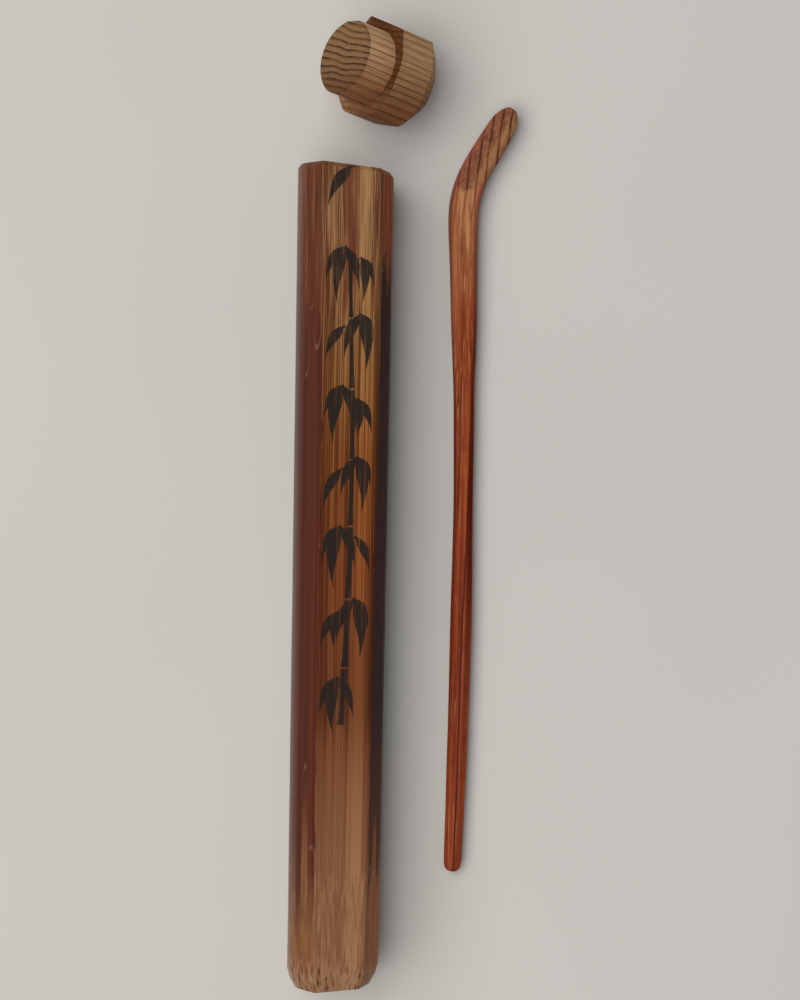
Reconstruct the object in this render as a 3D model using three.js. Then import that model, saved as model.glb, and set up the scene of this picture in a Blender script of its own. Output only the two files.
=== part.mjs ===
// A tea scoop with its bamboo case and wooden stopper, laid out beside each other on a flat surface.
// Millimetres, +Z up. The case lies along Y with its mouth toward +Y, and the origin is the middle
// of the flat facet that it lies on.

import * as THREE from 'three';

// Case: one length of bamboo, shaved to eight facets, whose own joint closes the foot.
const tubeLength = 189.5;
const boreDiameter = 18.1;
const wallThickness = 1.95;
const floorThickness = 1.4;
const floorRounding = 2.5;
const mouthEaseLength = 1.0;
const mouthEaseInset = 0.7;
const boreEase = 0.4;
const footTrimLength = 4.6;
const footTrimInset = 2.0;
const boreRadius = boreDiameter / 2;
const tubeRestDistance = boreRadius + wallThickness;

// Facets round the case, counterclockwise from its right side as seen from the foot: the way each
// faces in degrees, its distance from the middle line at the mouth and at the foot, and how far the
// corner that follows it is rounded. Distances and roundings are shares of tubeRestDistance. The
// stopper carries the same facets, and lies tipped over on one of them.
const facets = [
  { turn: -8, mouth: 0.991, foot: 0.941, corner: 0.164 },
  { turn: 22, mouth: 1.027, foot: 0.964, corner: 0.064 },
  { turn: 79, mouth: 0.982, foot: 0.964, corner: 0.064 },
  { turn: 145, mouth: 1.009, foot: 0.955, corner: 0.218 },
  { turn: 183, mouth: 1.009, foot: 0.959, corner: 0.182, stopperRests: true },
  { turn: 226, mouth: 1.045, foot: 1, corner: 0.127 },
  { turn: 270, mouth: 1, foot: 1, corner: 0.127 },
  { turn: 315, mouth: 1.045, foot: 1, corner: 0.164 },
];
const cornerSteps = 4;
const sideSteps = 5;

// Stopper: one piece of striped wood, a round spigot below a head that ends in a tapered crown.
const spigotClearance = 0.4;
const spigotTaper = 0.3;
const spigotLength = 8.0;
const spigotEase = 0.5;
const headLength = 9.1;
const crownHeight = 4.5;
const crownInset = 3.8;
const stopperBeside = 15.2;
const stopperBeyondMouth = 19.8;
const stopperHeading = 166.7;

// Scoop: one carved stick, lying on its side, so that its bend lies along the table.
const storageClearance = 0.6;
const bendAngle = 30.5;
const bendRun = 7;
const bladeLength = 22.7;
const scoopWidth = 7.2;
const scoopHeight = 4.5;
const handleBow = 1.2;
const tipRound = 4.7;
const endRound = 1.9;
const tipLift = 1.6;
const hollowDepth = 1.1;
const hollowHeight = 2.4;
const scoopBeside = 27.3;
const scoopFromFoot = 25.4;

// Stations along the scoop: 0 is the end of the handle, 1 the bend and 2 the tip. Each gives the
// width along the table and the height above it, as shares of those at the bend, and how far to the
// side its ridge runs.
const stations = [
  { at: 0.0, width: 0.57, height: 0.645, ridge: 0.15 },
  { at: 0.2, width: 0.653, height: 0.734, ridge: 0.25 },
  { at: 0.36, width: 0.694, height: 0.778, ridge: 0.35 },
  { at: 0.54, width: 0.625, height: 0.756, ridge: 0.5 },
  { at: 0.68, width: 0.667, height: 0.778, ridge: 0.65 },
  { at: 0.84, width: 0.861, height: 0.889, ridge: 0.7 },
  { at: 1.0, width: 1, height: 1, ridge: 0.72 },
  { at: 1.25, width: 0.972, height: 1.022, ridge: 0.72 },
  { at: 1.6, width: 0.944, height: 0.956, ridge: 0.7 },
  { at: 2.0, width: 0.82, height: 0.8, ridge: 0.6 },
];

const radians = THREE.MathUtils.degToRad;

// Joins rings of equally many points, counterclockwise about the way they advance, into one closed
// body with a flat face over the first ring and the last.
function loft(rings) {
  const count = rings[0].length;
  const middles = [rings[0], rings.at(-1)].map((ring) =>
    ring.reduce((sum, point) => sum.add(point), new THREE.Vector3()).divideScalar(count));
  const points = [...rings.flat(), ...middles];
  const firstMiddle = points.length - 2;
  const lastMiddle = points.length - 1;
  const lastRing = (rings.length - 1) * count;
  const faces = [];
  for (let i = 0; i < count; i += 1) {
    const next = (i + 1) % count;
    for (let start = 0; start < lastRing; start += count) {
      faces.push(start + i, start + next, start + next + count);
      faces.push(start + i, start + next + count, start + i + count);
    }
    faces.push(firstMiddle, next, i);
    faces.push(lastMiddle, lastRing + i, lastRing + next);
  }
  const geometry = new THREE.BufferGeometry().setFromPoints(points);
  geometry.setIndex(faces);
  geometry.computeVertexNormals();
  return geometry;
}

// Corner where two neighbouring facets meet, each given by the way it faces and its distance.
function cornerOf(first, second) {
  const [a, b] = [radians(first.turn), radians(second.turn)];
  const spread = Math.sin(b - a);
  return new THREE.Vector2(
    (first.distance * Math.sin(b) - second.distance * Math.sin(a)) / spread,
    (second.distance * Math.cos(a) - first.distance * Math.cos(b)) / spread,
  );
}

// Outline of the shaved bamboo at a share of the way from the mouth to the foot: straight facets
// with a short curve round each corner, always with the same number of points.
function culmOutline(share) {
  const sides = facets.map((facet) => ({
    turn: facet.turn,
    distance: THREE.MathUtils.lerp(facet.mouth, facet.foot, share) * tubeRestDistance,
  }));
  const corners = sides.map((side, i) => cornerOf(side, sides[(i + 1) % sides.length]));
  const trimmed = (i, toward) => {
    const corner = corners.at(i);
    const other = corners.at((i + toward) % corners.length);
    const rounding = facets.at(i).corner * tubeRestDistance;
    return corner.clone().lerp(other, rounding / corner.distanceTo(other));
  };
  return corners.flatMap((corner, i) => {
    const round = new THREE.QuadraticBezierCurve(trimmed(i, -1), corner, trimmed(i, 1));
    const nextCorner = (i + 1) % corners.length;
    const side = new THREE.LineCurve(trimmed(i, 1), trimmed(nextCorner, -1));
    return [...round.getPoints(cornerSteps), ...side.getPoints(sideSteps).slice(1, -1)];
  });
}

// Places an outline as a ring at a height on the middle line, drawn in by an inset.
function ringOf(outline, height, inset = 0) {
  return outline.map((point) => {
    const reach = point.length();
    const drawn = point.clone().multiplyScalar((reach - inset) / reach);
    return new THREE.Vector3(drawn.x, drawn.y, height);
  });
}

// Places a circle as a ring with as many points, in the same directions, as an outline has.
function roundRing(outline, height, radius) {
  return outline.map((point) => {
    const onCircle = point.clone().setLength(radius);
    return new THREE.Vector3(onCircle.x, onCircle.y, height);
  });
}

function bambooTube() {
  const trimStart = tubeLength - footTrimLength;
  const outer = (height, inset) => ringOf(culmOutline(height / tubeLength), height, inset);
  const mouth = culmOutline(0);
  const foot = culmOutline(1);
  const floorHeight = tubeLength - floorThickness;
  const rings = [
    ...[0, 0.3, 0.6, 0.85, 1].map((part) => {
      const angle = (part * Math.PI) / 2;
      const radius = boreRadius - floorRounding * (1 - Math.sin(angle));
      return roundRing(foot, floorHeight - floorRounding * (1 - Math.cos(angle)), radius);
    }),
    roundRing(mouth, boreEase, boreRadius),
    roundRing(mouth, 0, boreRadius + boreEase),
    outer(0, mouthEaseInset),
    outer(mouthEaseLength, 0),
    ...[0.25, 0.5, 0.75].map((part) => outer(tubeLength * part, 0)),
    outer(trimStart, 0),
    outer(trimStart + footTrimLength * 0.5, footTrimInset * 0.32),
    outer(tubeLength, footTrimInset),
  ];
  const bamboo = new THREE.MeshStandardMaterial({ color: '#6e4229', roughness: 0.45, metalness: 0 });
  const mesh = new THREE.Mesh(loft(rings), bamboo);
  mesh.name = 'bamboo_tube';
  mesh.rotation.x = Math.PI / 2;
  mesh.position.set(0, tubeLength / 2, tubeRestDistance);
  return mesh;
}

function stopper() {
  const restFacet = facets.find((facet) => facet.stopperRests);
  const restDistance = restFacet.mouth * tubeRestDistance;
  const roll = radians(270 - restFacet.turn);
  const outline = culmOutline(0).map((point) => point.rotateAround(new THREE.Vector2(), roll));
  const spigotRadius = boreRadius - spigotClearance / 2;
  const shoulder = crownHeight + headLength;
  const top = shoulder + spigotLength;
  const crownScale = 1 - crownInset / restDistance;
  const crownEnd = outline.map((point) => point.clone().multiplyScalar(crownScale));
  const rings = [
    ringOf(crownEnd, 0),
    ringOf(outline, crownHeight),
    ringOf(outline, shoulder),
    roundRing(outline, shoulder, spigotRadius),
    roundRing(outline, top - spigotEase, spigotRadius - spigotTaper / 2),
    roundRing(outline, top, spigotRadius - spigotTaper / 2 - spigotEase),
  ];
  const stripedWood = new THREE.MeshStandardMaterial({ color: '#96704e', roughness: 0.7, metalness: 0 });
  const mesh = new THREE.Mesh(loft(rings), stripedWood);
  mesh.name = 'stopper';
  const restTilt = Math.atan2(crownHeight, crownInset);
  const restHeight = restDistance * Math.sin(restTilt) - crownHeight * Math.cos(restTilt);
  mesh.rotation.set(restTilt, 0, radians(stopperHeading + 90), 'ZXY');
  mesh.position.set(stopperBeside, tubeLength / 2 + stopperBeyondMouth, restHeight);
  return mesh;
}

// Line along the middle of the scoop, from the end of the handle to the tip. Its length is what
// fits between the floor of the case and the spigot of the stopper.
function scoopLine() {
  const room = tubeLength - floorThickness - spigotLength - storageClearance;
  const bend = radians(bendAngle);
  const tipWidth = (stations.at(-1).width * scoopWidth) / 2;
  const bladeReach = (bladeLength - tipRound) * Math.cos(bend)
    + Math.hypot(tipRound * Math.cos(bend), tipWidth * Math.sin(bend));
  const handleLength = room - bladeReach;
  const bladeWay = new THREE.Vector2(Math.sin(bend), Math.cos(bend));
  const bowControl = handleBow / 0.75;
  const bendStart = new THREE.Vector2(0, handleLength - bendRun);
  const lean = -bowControl / (bendStart.y / 3);
  const corner = new THREE.Vector2(lean * bendRun, handleLength);
  const bendEnd = corner.clone().addScaledVector(bladeWay, bendRun);
  const tip = corner.clone().addScaledVector(bladeWay, bladeLength);
  const line = new THREE.CurvePath();
  line.add(new THREE.CubicBezierCurve(
    new THREE.Vector2(0, 0),
    new THREE.Vector2(bowControl, bendStart.y / 3),
    new THREE.Vector2(bowControl, (bendStart.y * 2) / 3),
    bendStart,
  ));
  line.add(new THREE.QuadraticBezierCurve(bendStart, corner, bendEnd));
  line.add(new THREE.LineCurve(bendEnd, tip));
  return { line, handleLength };
}

// Width, height and ridge of the scoop at a station, read smoothly between the stated ones.
function sectionAt(at) {
  const after = Math.max(1, stations.findIndex((station) => station.at >= at));
  const [low, high] = [stations[after - 1], stations[after]];
  const share = THREE.MathUtils.smoothstep(at, low.at, high.at);
  const read = (name) => THREE.MathUtils.lerp(low[name], high[name], share);
  return {
    width: read('width') * scoopWidth,
    height: read('height') * scoopHeight,
    ridge: read('ridge'),
  };
}

// Corners of the scoop's section, clockwise from the ridge as seen from the end of the handle.
// Sideways they run from -1 to 1, and upward from 0 to 1.
function sectionCorners(ridge, flatness, hollow) {
  const shoulder = THREE.MathUtils.lerp(0.7, 0.92, flatness);
  return [
    [ridge, 1],
    [THREE.MathUtils.lerp(0.9, 0.96, flatness), THREE.MathUtils.lerp(0.72, 0.86, flatness)],
    [1, 0.5 + hollow.rim],
    [1 - hollow.depth, 0.5 + hollow.rim * 0.4],
    [1 - hollow.depth, 0.5 - hollow.rim * 0.4],
    [1, 0.5 - hollow.rim],
    [0.9, 0.14],
    [0.6, 0],
    [-0.6, 0],
    [-0.9, 0.14],
    [-1, 0.4],
    [-1, 0.6],
    [-0.92, shoulder],
    [-0.7, THREE.MathUtils.lerp(0.84, 0.99, flatness)],
  ];
}

// Share of the full width left where an end is rounded off, at a distance from that end.
function roundedShare(distance, round) {
  const inward = Math.min(distance / round, 1);
  return Math.sqrt(1 - (1 - inward) ** 2);
}

function teaScoop() {
  const { line, handleLength } = scoopLine();
  const length = line.getLength();
  const endDistances = [0.04, 0.18, 0.45, 1].map((part) => part * endRound);
  const tipDistances = [1, 0.7, 0.4, 0.18, 0.05].map((part) => length - part * tipRound);
  const middleSteps = 40;
  const middleDistances = Array.from({ length: middleSteps - 1 }, (_, i) =>
    THREE.MathUtils.lerp(endRound, length - tipRound, (i + 1) / middleSteps));
  const rings = [...endDistances, ...middleDistances, ...tipDistances].map((distance) => {
    const point = line.getPointAt(distance / length);
    const way = line.getTangentAt(distance / length);
    const side = new THREE.Vector2(way.y, -way.x);
    const bladeShare = Math.max(0, (distance - handleLength) / (length - handleLength));
    const at = distance < handleLength ? distance / handleLength : 1 + bladeShare;
    const { width, height, ridge } = sectionAt(Math.min(at, 2));
    const left = roundedShare(distance, endRound) * roundedShare(length - distance, tipRound);
    const thinned = height * THREE.MathUtils.lerp(0.55, 1, left);
    const inHollow = THREE.MathUtils.smoothstep(bladeShare, 0.1, 0.4)
      * THREE.MathUtils.smoothstep(1 - bladeShare, 0.02, 0.25);
    const hollow = {
      depth: (inHollow * hollowDepth) / (width / 2),
      rim: (hollowHeight / height) * 0.5,
    };
    const flatness = THREE.MathUtils.smoothstep(at, 0.45, 0.85);
    const lift = tipLift * bladeShare ** 2 + (height - thinned) * 0.5;
    return sectionCorners(ridge, flatness, hollow).map(([across, up]) => new THREE.Vector3(
      point.x + side.x * across * left * (width / 2),
      point.y + side.y * across * left * (width / 2),
      lift + up * thinned,
    ));
  });
  const lacqueredWood = new THREE.MeshStandardMaterial({ color: '#93502f', roughness: 0.4, metalness: 0 });
  const mesh = new THREE.Mesh(loft(rings), lacqueredWood);
  mesh.name = 'tea_scoop';
  mesh.position.set(scoopBeside, scoopFromFoot - tubeLength / 2, 0);
  return mesh;
}

const set = new THREE.Group();
set.add(bambooTube(), stopper(), teaScoop());

export default set;
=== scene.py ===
from math import atan2, cos, degrees, pi, radians, sin

import bmesh
import bpy
from mathutils import Matrix, Vector


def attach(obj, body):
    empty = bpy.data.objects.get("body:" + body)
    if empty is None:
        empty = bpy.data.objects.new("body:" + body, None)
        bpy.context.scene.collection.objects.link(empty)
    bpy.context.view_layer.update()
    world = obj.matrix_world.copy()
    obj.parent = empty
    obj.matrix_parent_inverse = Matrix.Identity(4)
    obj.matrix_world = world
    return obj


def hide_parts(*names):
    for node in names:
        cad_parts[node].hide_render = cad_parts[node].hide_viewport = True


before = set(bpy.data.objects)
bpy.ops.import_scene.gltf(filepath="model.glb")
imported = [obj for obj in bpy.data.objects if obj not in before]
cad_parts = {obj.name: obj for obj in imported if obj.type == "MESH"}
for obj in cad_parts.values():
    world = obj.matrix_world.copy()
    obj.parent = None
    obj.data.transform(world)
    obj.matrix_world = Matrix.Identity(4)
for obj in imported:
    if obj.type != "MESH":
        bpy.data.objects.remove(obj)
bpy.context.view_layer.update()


# Camera
# The set is seen from straight above the table, from half a metre, through a short telephoto lens.
# The camera is turned by a degree.
mm = 0.001
camera_place = (13.66 * mm, 17.78 * mm, 524.2 * mm)
camera_turn = radians(0.973)
bpy.ops.object.select_all(action="DESELECT")
bpy.ops.object.camera_add(location=camera_place, rotation=(0, 0, camera_turn))
camera = bpy.context.object
camera.name = "camera_above_table"
camera.data.lens = 80
bpy.context.scene.camera = camera
bpy.context.scene.view_settings.view_transform = "Standard"


# Light
# One very broad window, high on the left of the table, and a dim pale room all round it, so that
# the shadows are faint and soft and fall to the right.
def linear(colour):
    """An sRGB hex colour as linear light."""
    channels = [int(colour[i:i + 2], 16) / 255 for i in (1, 3, 5)]
    return [c / 12.92 if c <= 0.04045 else ((c + 0.055) / 1.055) ** 2.4 for c in channels] + [1.0]


room = bpy.data.worlds.new("pale_room")
room.use_nodes = True
room.node_tree.nodes["Background"].inputs["Color"].default_value = linear("#f2f5f8")
room.node_tree.nodes["Background"].inputs["Strength"].default_value = 0.2
bpy.context.scene.world = room

window_place = Vector((-0.68, 0, 1.34))
bpy.ops.object.light_add(type="AREA", location=window_place)
window = bpy.context.object
window.name = "window_light"
window.rotation_euler = (-window_place).to_track_quat("-Z", "Y").to_euler()
window.data.shape = "RECTANGLE"
window.data.size = 2.6
window.data.size_y = 1.75
window.data.energy = 31.5


# Table
# A pale grey painted board, which only catches the shadows. It is stage, and only
# catches the shadows.

# Which setting holds the mode of each kind of node.
modes = {"Math": "operation", "VectorMath": "operation", "MapRange": "interpolation_type",
         "Mix": "data_type", "TexWhiteNoise": "noise_dimensions"}


def add(tree, kind, *inputs, stops=(), **named):
    """Adds a node by its kind and mode, such as "Math ADD", and returns the output that it shows.
    Inputs go in order to the sockets that it shows, or to named ones. Each is a value, an sRGB
    colour or another node's output. A colour ramp has stops, each a place and an sRGB colour."""
    kind, _, mode = kind.partition(" ")
    made = tree.nodes.new("ShaderNode" + kind)
    if mode:
        setattr(made, modes[kind], mode)
    shown = [socket for socket in made.inputs if socket.enabled]
    given = [*zip(shown, inputs), *((made.inputs[name], value) for name, value in named.items())]
    for socket, value in given:
        if isinstance(value, bpy.types.NodeSocket):
            tree.links.new(value, socket)
        else:
            socket.default_value = linear(value) if isinstance(value, str) else value
    if stops:
        elements = made.color_ramp.elements
        for (at, colour), element in zip(stops, [*elements, *[elements.new(1) for _ in stops[2:]]]):
            element.position = at
            element.color = linear(colour)
    return next(socket for socket in made.outputs if socket.enabled)


def patches(tree, place, across, along, detail=3.0, roughness=0.55):
    """Uneven patches of a size in millimetres across the piece and along it (its Y)."""
    stretched = add(tree, "Mapping", place, Scale=(1000 / across, 1000 / along, 1000 / across))
    return add(tree, "TexNoise", stretched, Scale=1.0, Detail=detail, Roughness=roughness)


def new_finish(name):
    """A material with its node tree, its surface shader and the piece's own coordinates."""
    finish = bpy.data.materials.new(name)
    finish.use_nodes = True
    tree = finish.node_tree
    place = add(tree, "TexCoord").node.outputs["Object"]
    return finish, tree, tree.nodes["Principled BSDF"], place


# It lies a hair below the set, so that no two faces share a place.
table_width = 12
hair_below = 0.05 * mm
bpy.ops.mesh.primitive_plane_add(size=table_width, location=(0, 0, -hair_below))
table = bpy.context.object
table.name = "painted_table"
painted_board, tree, surface, place = new_finish("painted_board")
paint = add(tree, "ValToRGB", patches(tree, place, 160, 160, 2.0),
            stops=[(0.3, "#cdc9c3"), (0.7, "#d1cec7")])
tree.links.new(paint, surface.inputs["Base Color"])
surface.inputs["Roughness"].default_value = 0.9
surface.inputs["Specular IOR Level"].default_value = 0.1
table.data.materials.append(painted_board)


# Bamboo case
# One length of smoked bamboo, shaved lengthwise to eight flat sides, with its own joint as the
# floor. The mouth is bored round for the stopper and the foot is trimmed down to the joint.
tube_length = 189.5 * mm
tube_middle = 11.0 * mm
mouth = Vector((0, tube_length / 2, tube_middle))
foot = Vector((0, -tube_length / 2, tube_middle))
stock_radius = 15 * mm
bore_radius = 9.05 * mm
floor_thickness = 1.4 * mm
floor_rounding = 2.5 * mm
rim_rounding = 0.4 * mm
# Each side: the way it faces in degrees, its distance from the middle line at the mouth and at
# the foot, and how far the arris after it is rounded.
sides = [
    (352, 10.9 * mm, 10.35 * mm, 1.8 * mm),
    (22, 11.3 * mm, 10.6 * mm, 0.7 * mm),
    (79, 10.8 * mm, 10.6 * mm, 0.7 * mm),
    (145, 11.1 * mm, 10.5 * mm, 2.4 * mm),
    (183, 11.1 * mm, 10.55 * mm, 2.0 * mm),
    (226, 11.5 * mm, 11.0 * mm, 1.4 * mm),
    (270, 11.0 * mm, 11.0 * mm, 1.4 * mm),
    (315, 11.5 * mm, 11.0 * mm, 1.8 * mm),
]
painted_side = 79


def pick(piece, kind, wanted):
    """In edit mode, selects only those faces, edges or corners that pass the test."""
    bpy.ops.mesh.select_mode(type=kind)
    bpy.ops.mesh.select_all(action="DESELECT")
    shape = bmesh.from_edit_mesh(piece.data)
    for part in {"VERT": shape.verts, "EDGE": shape.edges, "FACE": shape.faces}[kind]:
        part.select_set(wanted(part))
    shape.select_flush_mode()
    bmesh.update_edit_mesh(piece.data)


def cut(at, way, **options):
    """In edit mode, cuts the whole piece along a plane."""
    bpy.ops.mesh.select_all(action="SELECT")
    bpy.ops.mesh.bisect(plane_co=at, plane_no=way, **options)


def turn_of(face):
    """The way a side faces round the case, in whole degrees."""
    return round(degrees(atan2(face.normal.z, face.normal.x))) % 360


def shave(piece, narrowing):
    """Cuts the eight sides with their rounded arrises, narrowing toward the foot by that share."""
    for turn, at_mouth, at_foot, _ in sides:
        facing = Vector((cos(radians(turn)), 0, sin(radians(turn))))
        along = mouth - foot + facing * (at_mouth - at_foot) * narrowing
        out = along.cross(Vector((sin(radians(turn)), 0, -cos(radians(turn))))).normalized()
        out = out if out.dot(facing) > 0 else -out
        cut(mouth + facing * at_mouth, out, use_fill=True, clear_outer=True)
    bpy.ops.mesh.select_all(action="SELECT")
    bpy.ops.mesh.normals_make_consistent(inside=False)
    for (turn, _, _, rounding), after in zip(sides, sides[1:] + sides[:1]):
        pick(piece, "EDGE", lambda edge: {turn_of(face) for face in edge.link_faces
                                          if abs(face.normal.y) < 0.5} == {turn, after[0]})
        bpy.ops.mesh.bevel(offset=rounding, segments=5, affect="EDGES")


def pick_ring(piece, y):
    """In edit mode, selects the piece's corners at one place along the case."""
    pick(piece, "VERT", lambda corner: abs(corner.co.y - y) < 0.05 * mm)


def draw_in(piece, y, share):
    """In edit mode, draws a ring of corners toward the middle line of the case."""
    pick_ring(piece, y)
    bpy.ops.transform.resize(value=(share, 1, share), center_override=(0, y, tube_middle))


def slant(piece, y, pivot, turn):
    """In edit mode, turns a ring of corners, in degrees, about a point on the left of the case."""
    pick_ring(piece, y)
    bpy.ops.transform.rotate(value=radians(turn), orient_axis="Z", center_override=(pivot, y, 0))


def new_piece(name):
    """Names the primitive just added, and puts its place in its mesh."""
    piece = bpy.context.object
    piece.name = name
    piece.data.name = name
    bpy.ops.object.transform_apply(location=True, rotation=True, scale=True)
    return piece


def round_bar(name, radius, start, end, corners):
    """A round bar on the middle line of the case, from one place along it to another. It is left
    in edit mode."""
    bpy.ops.object.select_all(action="DESELECT")
    bpy.ops.mesh.primitive_cylinder_add(vertices=corners, radius=radius, depth=end - start,
                                        location=(0, (start + end) / 2, tube_middle),
                                        rotation=(pi / 2, 0, 0))
    bar = new_piece(name)
    bpy.ops.object.mode_set(mode="EDIT")
    return bar


def apply_modifier(piece, kind, **settings):
    """Adds a modifier with its settings and applies it at once."""
    bpy.ops.object.select_all(action="DESELECT")
    piece.select_set(True)
    bpy.context.view_layer.objects.active = piece
    made = piece.modifiers.new(kind.lower(), kind)
    for name, value in settings.items():
        setattr(made, name, value)
    bpy.ops.object.modifier_apply(modifier=made.name)


case = round_bar("smoked_bamboo_case", stock_radius, foot.y, mouth.y, corners=64)
shave(case, narrowing=1)

# The knife trims the foot in two steps and eases the mouth.
trim_start = foot.y + 4.6 * mm
trim_middle = foot.y + 2.3 * mm
ease_start = mouth.y - 1.0 * mm
between_cuts = 4 * mm
for y in (trim_start, trim_middle, ease_start):
    cut((0, y, 0), (0, 1, 0))
for step in range(1, int((ease_start - trim_start) / between_cuts)):
    cut((0, trim_start + step * between_cuts, 0), (0, 1, 0))
draw_in(case, foot.y, 0.82)
draw_in(case, trim_middle, 0.942)
draw_in(case, mouth.y, 0.937)

# Both ends are cut a few degrees out of square, shorter on the right.
mouth_left, mouth_slant = -11.1 * mm, 5
foot_left, foot_slant = -9.1 * mm, -4
for y in (ease_start, mouth.y):
    slant(case, y, mouth_left, mouth_slant)
for y in (trim_start, trim_middle, foot.y):
    slant(case, y, foot_left, foot_slant)
bpy.ops.object.mode_set(mode="OBJECT")

# The knife leaves the long sides a little uneven.
unevenness = bpy.data.textures.new("knife_unevenness", "CLOUDS")
unevenness.noise_scale = 14 * mm
apply_modifier(case, "DISPLACE", texture=unevenness, texture_coords="LOCAL",
               strength=0.12 * mm, mid_level=1.0)

# The bore, with a rounded floor.
floor_y = foot.y + floor_thickness
drill = round_bar("bore_drill", bore_radius, floor_y, floor_y + tube_length, corners=96)
pick(drill, "EDGE", lambda edge: all(abs(end.co.y - floor_y) < 0.01 * mm for end in edge.verts))
bpy.ops.mesh.bevel(offset=floor_rounding, segments=6, affect="EDGES")
bpy.ops.object.mode_set(mode="OBJECT")
apply_modifier(case, "BOOLEAN", object=drill, operation="DIFFERENCE", solver="EXACT")
bpy.data.objects.remove(drill)


def reach(point):
    """Distance of a point from the middle line of the case."""
    return Vector((point.x, 0, point.z - tube_middle)).length


# The rim of the bore is eased. The slant takes it almost 3 mm down the case on the right.
bpy.ops.object.mode_set(mode="EDIT")
pick(case, "EDGE", lambda edge: all(end.co.y > mouth.y - 3 * mm
                                    and abs(reach(end.co) - bore_radius) < 0.05 * mm
                                    for end in edge.verts))
bpy.ops.mesh.bevel(offset=rim_rounding, segments=3, affect="EDGES")
bpy.ops.object.mode_set(mode="OBJECT")
bpy.ops.object.shade_smooth_by_angle(angle=radians(28))
apply_modifier(case, "WEIGHTED_NORMAL", keep_sharp=True)


def round_and_along(tree, place):
    """Millimetres round the case from its top, positive to the right, and along it to the mouth."""
    x, y, z = add(tree, "SeparateXYZ", place).node.outputs
    turned = add(tree, "Math ARCTAN2", x, add(tree, "Math SUBTRACT", z, tube_middle))
    around = add(tree, "Math MULTIPLY", turned, tube_middle / mm)
    return around, add(tree, "Math MULTIPLY", y, 1000.0)


def fibre_streaks(tree, place, along):
    """Pale and deep streaks of the split fibres. They are long down the middle of the case, and
    short and flame-like near its ends, where the knife runs out of the fibres."""
    foot_flames, mouth_flames = -66.0, 58.0
    to_foot = add(tree, "Math MINIMUM", add(tree, "Math ADD", along, -foot_flames), 0.0)
    to_foot = add(tree, "Math MULTIPLY", to_foot, 12.0)
    to_mouth = add(tree, "Math MAXIMUM", add(tree, "Math SUBTRACT", along, mouth_flames), 0.0)
    to_mouth = add(tree, "Math MULTIPLY", to_mouth, 5.0)
    pulled = add(tree, "Math ADD", add(tree, "Math ADD", to_foot, to_mouth), along)
    x, _, z = add(tree, "SeparateXYZ", place).node.outputs
    fibre = add(tree, "CombineXYZ", x, add(tree, "Math MULTIPLY", pulled, mm), z)
    bundles = patches(tree, fibre, 0.55, 90, 3.0, 0.6)
    bands = patches(tree, fibre, 2.0, 150, 2.0)
    threads = patches(tree, fibre, 0.22, 90, 1.0)
    streaks = add(tree, "Math MULTIPLY_ADD", bundles, 0.36, add(tree, "Math MULTIPLY", bands, 0.14))
    return add(tree, "Math MULTIPLY_ADD", threads, 0.5, streaks)


def shaved_colour(tree, place, deep_stops, pale_stops, lean=None):
    """Colour of bamboo shaved under its skin, and its streaks: a deep and a pale brown that both
    change along the case, mixed by the fibres."""
    around, along = round_and_along(tree, place)
    sway = add(tree, "Math MULTIPLY_ADD", patches(tree, place, 0.8, 60), 0.1, -0.05)
    half_tube = tube_length / mm / 2
    share = add(tree, "MapRange SMOOTHSTEP", along, -half_tube, half_tube)
    share = add(tree, "Math ADD", share, sway)
    streaks = fibre_streaks(tree, place, along)
    if lean:
        swayed = add(tree, "Math MULTIPLY_ADD", patches(tree, place, 1.5, 40), 1.6, around)
        swayed = add(tree, "MapRange SMOOTHSTEP", swayed, -3.4, 8.5)
        leaning = add(tree, "ValToRGB", swayed, stops=lean)
        streaks = add(tree, "Math ADD", streaks, add(tree, "Math MULTIPLY_ADD", leaning, 0.2, -0.1))
    streaks = add(tree, "MapRange SMOOTHSTEP", streaks, 0.37, 0.63)
    deep = add(tree, "ValToRGB", share, stops=deep_stops)
    pale = add(tree, "ValToRGB", share, stops=pale_stops)
    return add(tree, "Mix RGBA", streaks, deep, pale), streaks


def foot_pores(tree, place, colour):
    """Near the foot the fibre bundles are cut open: dark dashes 0.7 mm apart and 3 mm long, in
    paler wood."""
    around, along = round_and_along(tree, place)
    flat = add(tree, "CombineXYZ", add(tree, "Math MULTIPLY", around, 1.45),
               add(tree, "Math MULTIPLY", along, 0.32))
    dashes = add(tree, "TexVoronoi", flat, Scale=1.0)
    near_foot = add(tree, "MapRange SMOOTHSTEP", along, -85.5, -90.5)
    between = add(tree, "MapRange SMOOTHSTEP", dashes, 0.4, 0.7, 0.0, 0.6)
    cut_open = add(tree, "MapRange SMOOTHSTEP", dashes, 0.4, 0.14, 0.0, 0.8)
    for seen, tone in ((between, "#a98063"), (cut_open, "#4d301d")):
        colour = add(tree, "Mix RGBA", add(tree, "Math MULTIPLY", seen, near_foot), colour, tone)
    return colour


def stripe(tree, off, outer, inner, strength=1.0):
    """A soft stripe: full up to the inner distance off its middle line, and gone past the outer."""
    off = add(tree, "Math ABSOLUTE", off)
    return add(tree, "MapRange SMOOTHSTEP", off, outer, inner, 0.0, strength)


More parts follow.
